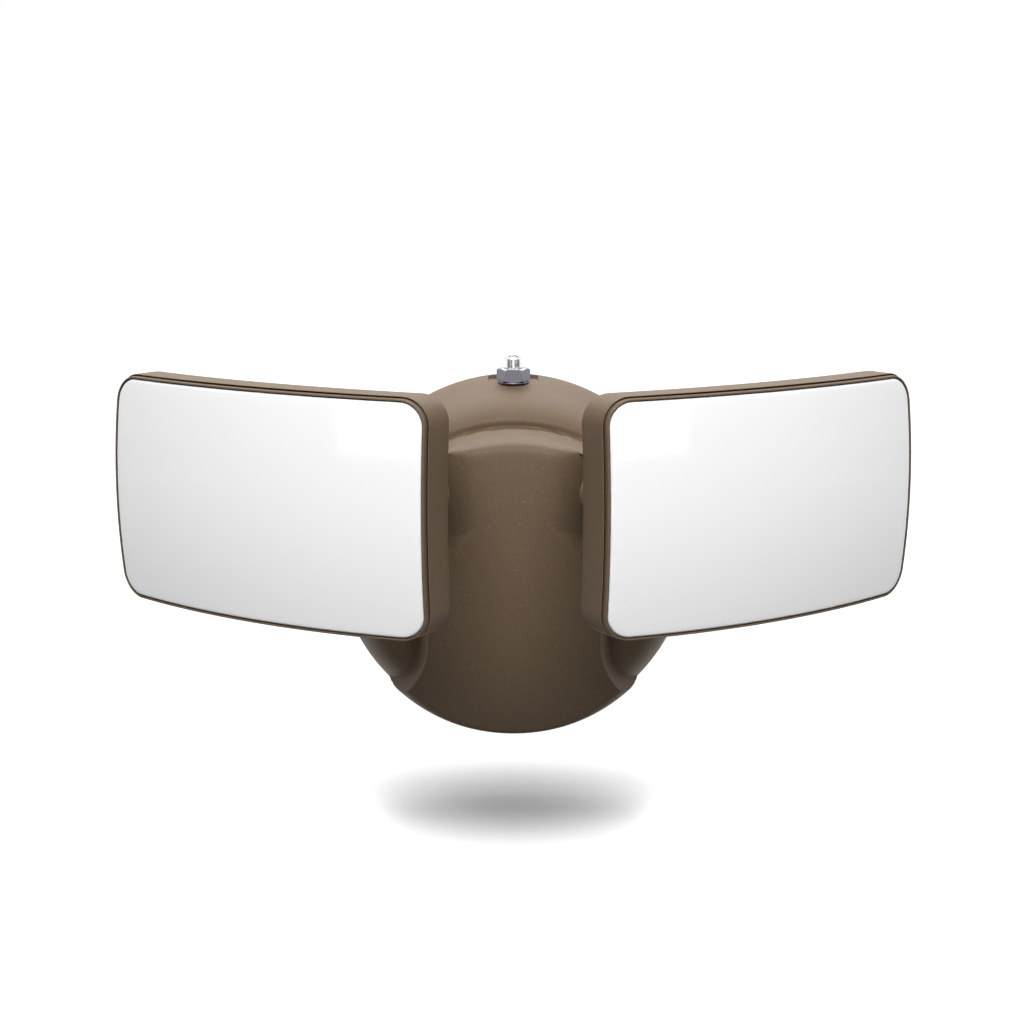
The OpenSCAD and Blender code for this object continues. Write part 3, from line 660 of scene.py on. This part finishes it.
class Nodes:
    """A short way to build a node material."""

    def __init__(self, name):
        self.material = bpy.data.materials.new(name)
        self.material.use_nodes = True
        self.tree = self.material.node_tree
        self.shader = self.tree.nodes["Principled BSDF"]
        self.coordinates = self.add("ShaderNodeTexCoord").outputs["Object"]

    def add(self, kind, **values):
        node = self.tree.nodes.new(kind)
        for key, value in values.items():
            if hasattr(node, key):
                setattr(node, key, value)
            else:
                node.inputs[key.replace("_", " ").title()].default_value = value
        return node

    def link(self, a, b):
        self.tree.links.new(a, b)

    def noise(self, scale, detail=3.0, roughness=0.5):
        node = self.add("ShaderNodeTexNoise", scale=scale, detail=detail, roughness=roughness)
        self.link(self.coordinates, node.inputs["Vector"])
        return node.outputs["Fac"]

    def ramp(self, value, stops):
        node = self.add("ShaderNodeValToRGB")
        elements = node.color_ramp.elements
        while len(elements) < len(stops):
            elements.new(0.5)
        for element, (place, colour) in zip(elements, stops):
            element.position = place
            element.color = colour
        self.link(value, node.inputs["Fac"])
        return node.outputs["Color"]

    def mix(self, factor, a, b):
        node = self.add("ShaderNodeMix", data_type="RGBA")
        for value, socket in ((factor, node.inputs[0]), (a, node.inputs[6]), (b, node.inputs[7])):
            if isinstance(value, (int, float, tuple)):
                socket.default_value = value
            else:
                self.link(value, socket)
        return node.outputs[2]

    def bump(self, height, strength, distance):
        node = self.add("ShaderNodeBump")
        node.inputs["Strength"].default_value = strength
        node.inputs["Distance"].default_value = distance
        self.link(height, node.inputs["Height"])
        self.link(node.outputs["Normal"], self.shader.inputs["Normal"])

    def set(self, **values):
        names = {"colour": "Base Color", "ior": "IOR", "metallic": "Metallic", "roughness": "Roughness",
                 "specular": "Specular IOR Level", "transmission": "Transmission Weight"}
        for key, value in values.items():
            socket = self.shader.inputs[names[key]]
            if isinstance(value, (int, float, tuple)):
                socket.default_value = value
            else:
                self.link(value, socket)


def linear(red, green, blue):
    """An sRGB colour of 0 to 255 as a linear one with alpha."""
    def one(c):
        c = c / 255
        return c / 12.92 if c <= 0.04045 else ((c + 0.055) / 1.055) ** 2.4
    return (one(red), one(green), one(blue), 1.0)


def grey(value):
    return (value, value, value, 1.0)


def bronze_coat():
    """Textured bronze powder coat with fine lighter and darker flecks."""
    m = Nodes("bronze_coat")
    broad = m.noise(28.0, 2.0)
    grain = m.noise(3600.0, 2.0, 0.6)
    flecks = m.noise(2300.0, 1.0, 0.4)
    base = m.mix(broad, linear(102, 86, 69), linear(109, 92, 75))
    base = m.mix(m.ramp(grain, [(0.3, grey(0.0)), (0.7, grey(0.5))]), base, linear(92, 76, 59))
    base = m.mix(m.ramp(flecks, [(0.68, grey(0.0)), (0.76, grey(0.6))]), base, linear(152, 132, 108))
    m.set(colour=base, specular=0.15)
    m.set(roughness=m.ramp(grain, [(0.2, grey(0.45)), (0.8, grey(0.6))]))
    m.bump(grain, 0.2, 0.00006)
    return m.material


def opal():
    """Glossy opal acrylic with the faintest waviness."""
    m = Nodes("opal_lens")
    m.set(colour=m.mix(m.noise(9.0, 1.0), linear(243, 243, 243), linear(246, 246, 246)))
    m.set(roughness=m.ramp(m.noise(60.0, 1.0), [(0.3, grey(0.06)), (0.7, grey(0.09))]), specular=0.5)
    m.bump(m.noise(14.0, 1.0), 0.05, 0.0004)
    return m.material


def metal(name, colour, low, high, metallic=1.0, scale=700.0):
    m = Nodes(name)
    grain = m.noise(scale, 2.0)
    m.set(colour=m.mix(m.noise(40.0, 2.0), colour, tuple(c * 0.86 for c in colour[:3]) + (1.0,)))
    m.set(metallic=metallic, roughness=m.ramp(grain, [(0.3, grey(low)), (0.7, grey(high))]))
    m.bump(grain, 0.08, 0.00005)
    return m.material


def nickel():
    """Plated metal, bright on the barrel; the nut below it is painted darker, painted shade standing in
    for the dark surroundings it mirrors.
    """
    m = Nodes("bright_nickel")
    parts = m.add("ShaderNodeSeparateXYZ")
    m.link(m.coordinates, parts.inputs[0])
    painted_shade_end, bright_start = SENSOR_SEAT_Z + 4.8, SENSOR_SEAT_Z + 5.4
    height = fade(m.tree, parts.outputs["Z"], painted_shade_end * MM, bright_start * MM)
    grain = m.noise(900.0, 2.0)
    # The nut's dark colour is painted shade for the dark it mirrors; the barrel above keeps the bright
    # metal colour
    m.set(colour=m.mix(height, linear(112, 110, 118), linear(226, 226, 230)), metallic=1.0)
    m.set(roughness=m.ramp(grain, [(0.3, grey(0.2)), (0.7, grey(0.28))]))
    m.bump(grain, 0.05, 0.00003)
    return m.material


def plain(name, colour, low, high, scale=500.0, strength=0.2):
    """Moulded or coated surface: slight colour change, broken gloss and fine texture."""
    m = Nodes(name)
    grain = m.noise(scale, 3.0)
    m.set(colour=m.mix(m.noise(35.0, 2.0), colour, tuple(c * 0.8 for c in colour[:3]) + (1.0,)))
    m.set(roughness=m.ramp(grain, [(0.3, grey(low)), (0.7, grey(high))]))
    m.bump(grain, strength, 0.0001)
    return m.material


def clear():
    m = Nodes("sensor_clear")
    m.set(colour=linear(235, 240, 244), transmission=1.0, ior=1.49)
    m.set(roughness=m.ramp(m.noise(300.0, 1.0), [(0.3, grey(0.03)), (0.7, grey(0.08))]))
    return m.material


MATERIALS = {
    "bronze_coat": bronze_coat(),
    "opal_lens": opal(),
    "bright_nickel": nickel(),
    "zinc_steel": metal("zinc_steel", linear(178, 181, 184), 0.3, 0.45),
    "sensor_clear": clear(),
    "seal_rubber": plain("seal_rubber", linear(30, 30, 30), 0.7, 0.85),
    "circuit_green": plain("circuit_green", linear(24, 88, 52), 0.3, 0.45, 300.0, 0.1),
    "driver_mix": plain("driver_mix", linear(150, 118, 60), 0.4, 0.6),
    "board_white": plain("board_white", linear(232, 232, 228), 0.35, 0.5, 300.0, 0.1),
    "led_yellow": plain("led_yellow", linear(226, 198, 88), 0.3, 0.45, 300.0, 0.1),
}


def finish_piece(piece, body, slot, *nodes):
    piece.data.materials.clear()
    piece.data.materials.append(MATERIALS[slot])
    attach(piece, body)
    if nodes:
        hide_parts(*nodes)


def dress_cad_nodes():
    """Gives every CAD node its slot's material, and softens the edges of those that show."""
    bevel_width = {"left_arm": 0.5, "right_arm": 0.5, "sensor_washer": 0.1, "mounting_plate": 0.25,
                   "back_cover": 0.25, "wall_gasket": 0.3}
    for part in frame["record"]["subparts"]:
        node = frame["nodes"][part["node"]]
        node.data.materials.clear()
        node.data.materials.append(MATERIALS[part["material_slot"]])
        if part["node"] in bevel_width:
            weld = node.modifiers.new("weld", "WELD")
            weld.merge_threshold = 0.00001
            bevel = node.modifiers.new("bevel", "BEVEL")
            bevel.width = bevel_width[part["node"]] * MM
            bevel.segments = 2
            bevel.limit_method = "ANGLE"
            bevel.angle_limit = math.radians(40)


def build_object():
    dress_cad_nodes()
    skin = base_skin()
    cut_base(skin)
    finish_piece(skin, "base", "bronze_coat", "base_shell")
    for side, word in ((-1, "left"), (1, "right")):
        body = word + "_head"
        finish_piece(housing(side, word + "_housing_skin"), body, "bronze_coat", word + "_housing")
        finish_piece(bezel(side, word + "_bezel_ring"), body, "bronze_coat", word + "_bezel")
        finish_piece(lens(side, word + "_opal_lens"), body, "opal_lens", word + "_lens")
        # Black seal line: rubber gasket, and painted shade for the gap round the lens
        finish_piece(seal_and_gap_shade(side, word + "_seal_shade_line"), body, "seal_rubber")


# Camera, as solved from the photo
CAMERA_PLACE = (-0.0056, -0.66277, 0.14130)
CAMERA_PITCH = 0.1914
CAMERA_YAW = 0.0079
FOCAL_PIXELS = 1904.4
PHOTO_PIXELS = 1024
SENSOR_MM = 36.0

# Floor, in metres, how its glow fades, and the painted shadow that darkens its glow under the object
FLOOR_Z = -0.088
FLOOR_HALF = 6.0
FLOOR_SEEN = (0.21, 0.23)
FLOOR_UNSEEN = 0.08
NEAR_GLOW = 0.84
FAR_GLOW = 0.3
FAR_FROM = 0.2
FAR_TO = 0.6
PAINTED_SHADOW_REACH = 0.041
PAINTED_SHADOW_DEPTH = 3.6

# Panels of light that the lenses mirror, by direction
PANEL_NEAR = 0.58
PANEL_FAR = 1.356
PANEL_FOOT = -0.514
PANEL_FOOT_RISE = 0.18
PANEL_NEAR_SOFT = 0.05
PANEL_FAR_SOFT = 0.02
PANEL_FOOT_SOFT = 0.01
PANEL_STRENGTH = 3.2
AMBIENT = 0.02

# Each softbox: its place, its width and height, and its power
KEY = ((0.0, -0.94, 0.94), (1.0, 0.6), 22.8)
BACK = ((0.0, 0.5, 0.75), (1.4, 0.4), 11.0)
SIDE_PLACE = (1.1, -0.12, -0.02)
SIDE_SIZE = (0.5, 0.12)
SIDE_POWER = 1.5


def seen_directly(tree):
    """1 for what the camera sees, also in a mirror or through glass, and 0 for light on the object."""
    path = tree.nodes.new("ShaderNodeLightPath")
    value = path.outputs["Is Camera Ray"]
    for name in ("Is Glossy Ray", "Is Transmission Ray"):
        larger = tree.nodes.new("ShaderNodeMath")
        larger.operation = "MAXIMUM"
        tree.links.new(value, larger.inputs[0])
        tree.links.new(path.outputs[name], larger.inputs[1])
        value = larger.outputs[0]
    return value


def build_floor():
    """A pale floor that keeps the lamps' shadow near the object, has a painted shadow under it from
    occlusion darkening its glow, and turns white further off.
    """
    half = FLOOR_HALF
    corners = [(x, y, FLOOR_Z) for x, y in ((-half, -half), (half, -half), (half, half), (-half, half))]
    floor = make_mesh("floor", corners, [(0, 1, 2, 3)], False)
    m = Nodes("floor")
    seen = seen_directly(m.tree)
    pale = m.mix(m.noise(3.0, 1.0), grey(FLOOR_SEEN[0]), grey(FLOOR_SEEN[1]))
    m.set(colour=m.mix(seen, grey(FLOOR_UNSEEN), pale), roughness=0.9, specular=0.1)
    distance = m.add("ShaderNodeVectorMath", operation="LENGTH")
    m.link(m.coordinates, distance.inputs[0])
    away = fade(m.tree, distance.outputs["Value"], FAR_FROM, FAR_TO)
    # Painted shadow: ambient occlusion darkens the floor's glow where the object comes close above it
    painted_shadow_ao = m.add("ShaderNodeAmbientOcclusion", samples=16)
    painted_shadow_ao.inputs["Distance"].default_value = PAINTED_SHADOW_REACH
    painted_shadow_share = calculate(m.tree, "POWER", painted_shadow_ao.outputs["AO"], PAINTED_SHADOW_DEPTH)
    glow = calculate(m.tree, "MULTIPLY_ADD", away, FAR_GLOW, NEAR_GLOW)
    glow_with_painted_shadow = calculate(m.tree, "MULTIPLY", glow, painted_shadow_share)
    m.shader.inputs["Emission Color"].default_value = grey(1.0)
    m.link(calculate(m.tree, "MULTIPLY", glow_with_painted_shadow, seen), m.shader.inputs["Emission Strength"])
    floor.data.materials.append(m.material)


def build_world():
    """White all round, with a brighter panel at each side in front that the glossy lenses mirror."""
    world = bpy.data.worlds.new("studio")
    bpy.context.scene.world = world
    world.use_nodes = True
    tree = world.node_tree
    direction = tree.nodes.new("ShaderNodeTexCoord")
    parts = tree.nodes.new("ShaderNodeSeparateXYZ")
    tree.links.new(direction.outputs["Generated"], parts.inputs[0])
    forward = calculate(tree, "MAXIMUM", calculate(tree, "MULTIPLY", parts.outputs["Y"], -1.0), 0.001)
    aside = calculate(tree, "DIVIDE", calculate(tree, "ABSOLUTE", parts.outputs["X"]), forward)
    before_far = fade(tree, aside, PANEL_FAR + PANEL_FAR_SOFT, PANEL_FAR - PANEL_FAR_SOFT)
    past_near = fade(tree, aside, PANEL_NEAR - PANEL_NEAR_SOFT, PANEL_NEAR + PANEL_NEAR_SOFT)
    inside = calculate(tree, "MULTIPLY", before_far, past_near)
    foot = calculate(tree, "MULTIPLY_ADD", aside, PANEL_FOOT_RISE, PANEL_FOOT)
    over_foot = calculate(tree, "SUBTRACT", parts.outputs["Z"], foot)
    above = fade(tree, over_foot, -PANEL_FOOT_SOFT, PANEL_FOOT_SOFT)
    path = tree.nodes.new("ShaderNodeLightPath")
    shape = calculate(tree, "MULTIPLY", inside, above)
    panel = calculate(tree, "MULTIPLY", shape, path.outputs["Is Glossy Ray"])
    white = calculate(tree, "MULTIPLY_ADD", seen_directly(tree), 1.0 - AMBIENT, AMBIENT)
    background = tree.nodes["Background"]
    background.inputs["Color"].default_value = grey(1.0)
    strength = calculate(tree, "MULTIPLY_ADD", panel, PANEL_STRENGTH - 1.0, white)
    tree.links.new(strength, background.inputs["Strength"])


def softbox(name, place, size, power):
    """A rectangular light that points at the origin, the middle of the base's back."""
    data = bpy.data.lights.new(name, "AREA")
    data.shape = "RECTANGLE"
    data.size, data.size_y = size
    data.energy = power
    lamp = bpy.data.objects.new(name, data)
    bpy.context.scene.collection.objects.link(lamp)
    lamp.location = place
    lamp.rotation_mode = "QUATERNION"
    lamp.rotation_quaternion = (-Vector(place)).to_track_quat("-Z", "Y")
    return lamp


def build_lights():
    """A key from above in front, a light from behind, and a fill on each side that nothing mirrors."""
    softbox("key_softbox", *KEY)
    softbox("back_softbox", *BACK)
    for word, side in (("left", -1), ("right", 1)):
        place = (side * SIDE_PLACE[0], SIDE_PLACE[1], SIDE_PLACE[2])
        fill = softbox(word + "_softbox", place, SIDE_SIZE, SIDE_POWER)
        fill.visible_glossy = False


def build_camera():
    data = bpy.data.cameras.new("camera")
    data.sensor_width = SENSOR_MM
    data.lens = SENSOR_MM * FOCAL_PIXELS / PHOTO_PIXELS
    camera = bpy.data.objects.new("camera", data)
    bpy.context.scene.collection.objects.link(camera)
    camera.location = CAMERA_PLACE
    camera.rotation_euler = (math.pi / 2 - CAMERA_PITCH, 0, -CAMERA_YAW)
    bpy.context.scene.camera = camera


build_camera()
build_object()
build_floor()
build_world()
build_lights()
bpy.context.scene.view_settings.view_transform = "Standard"
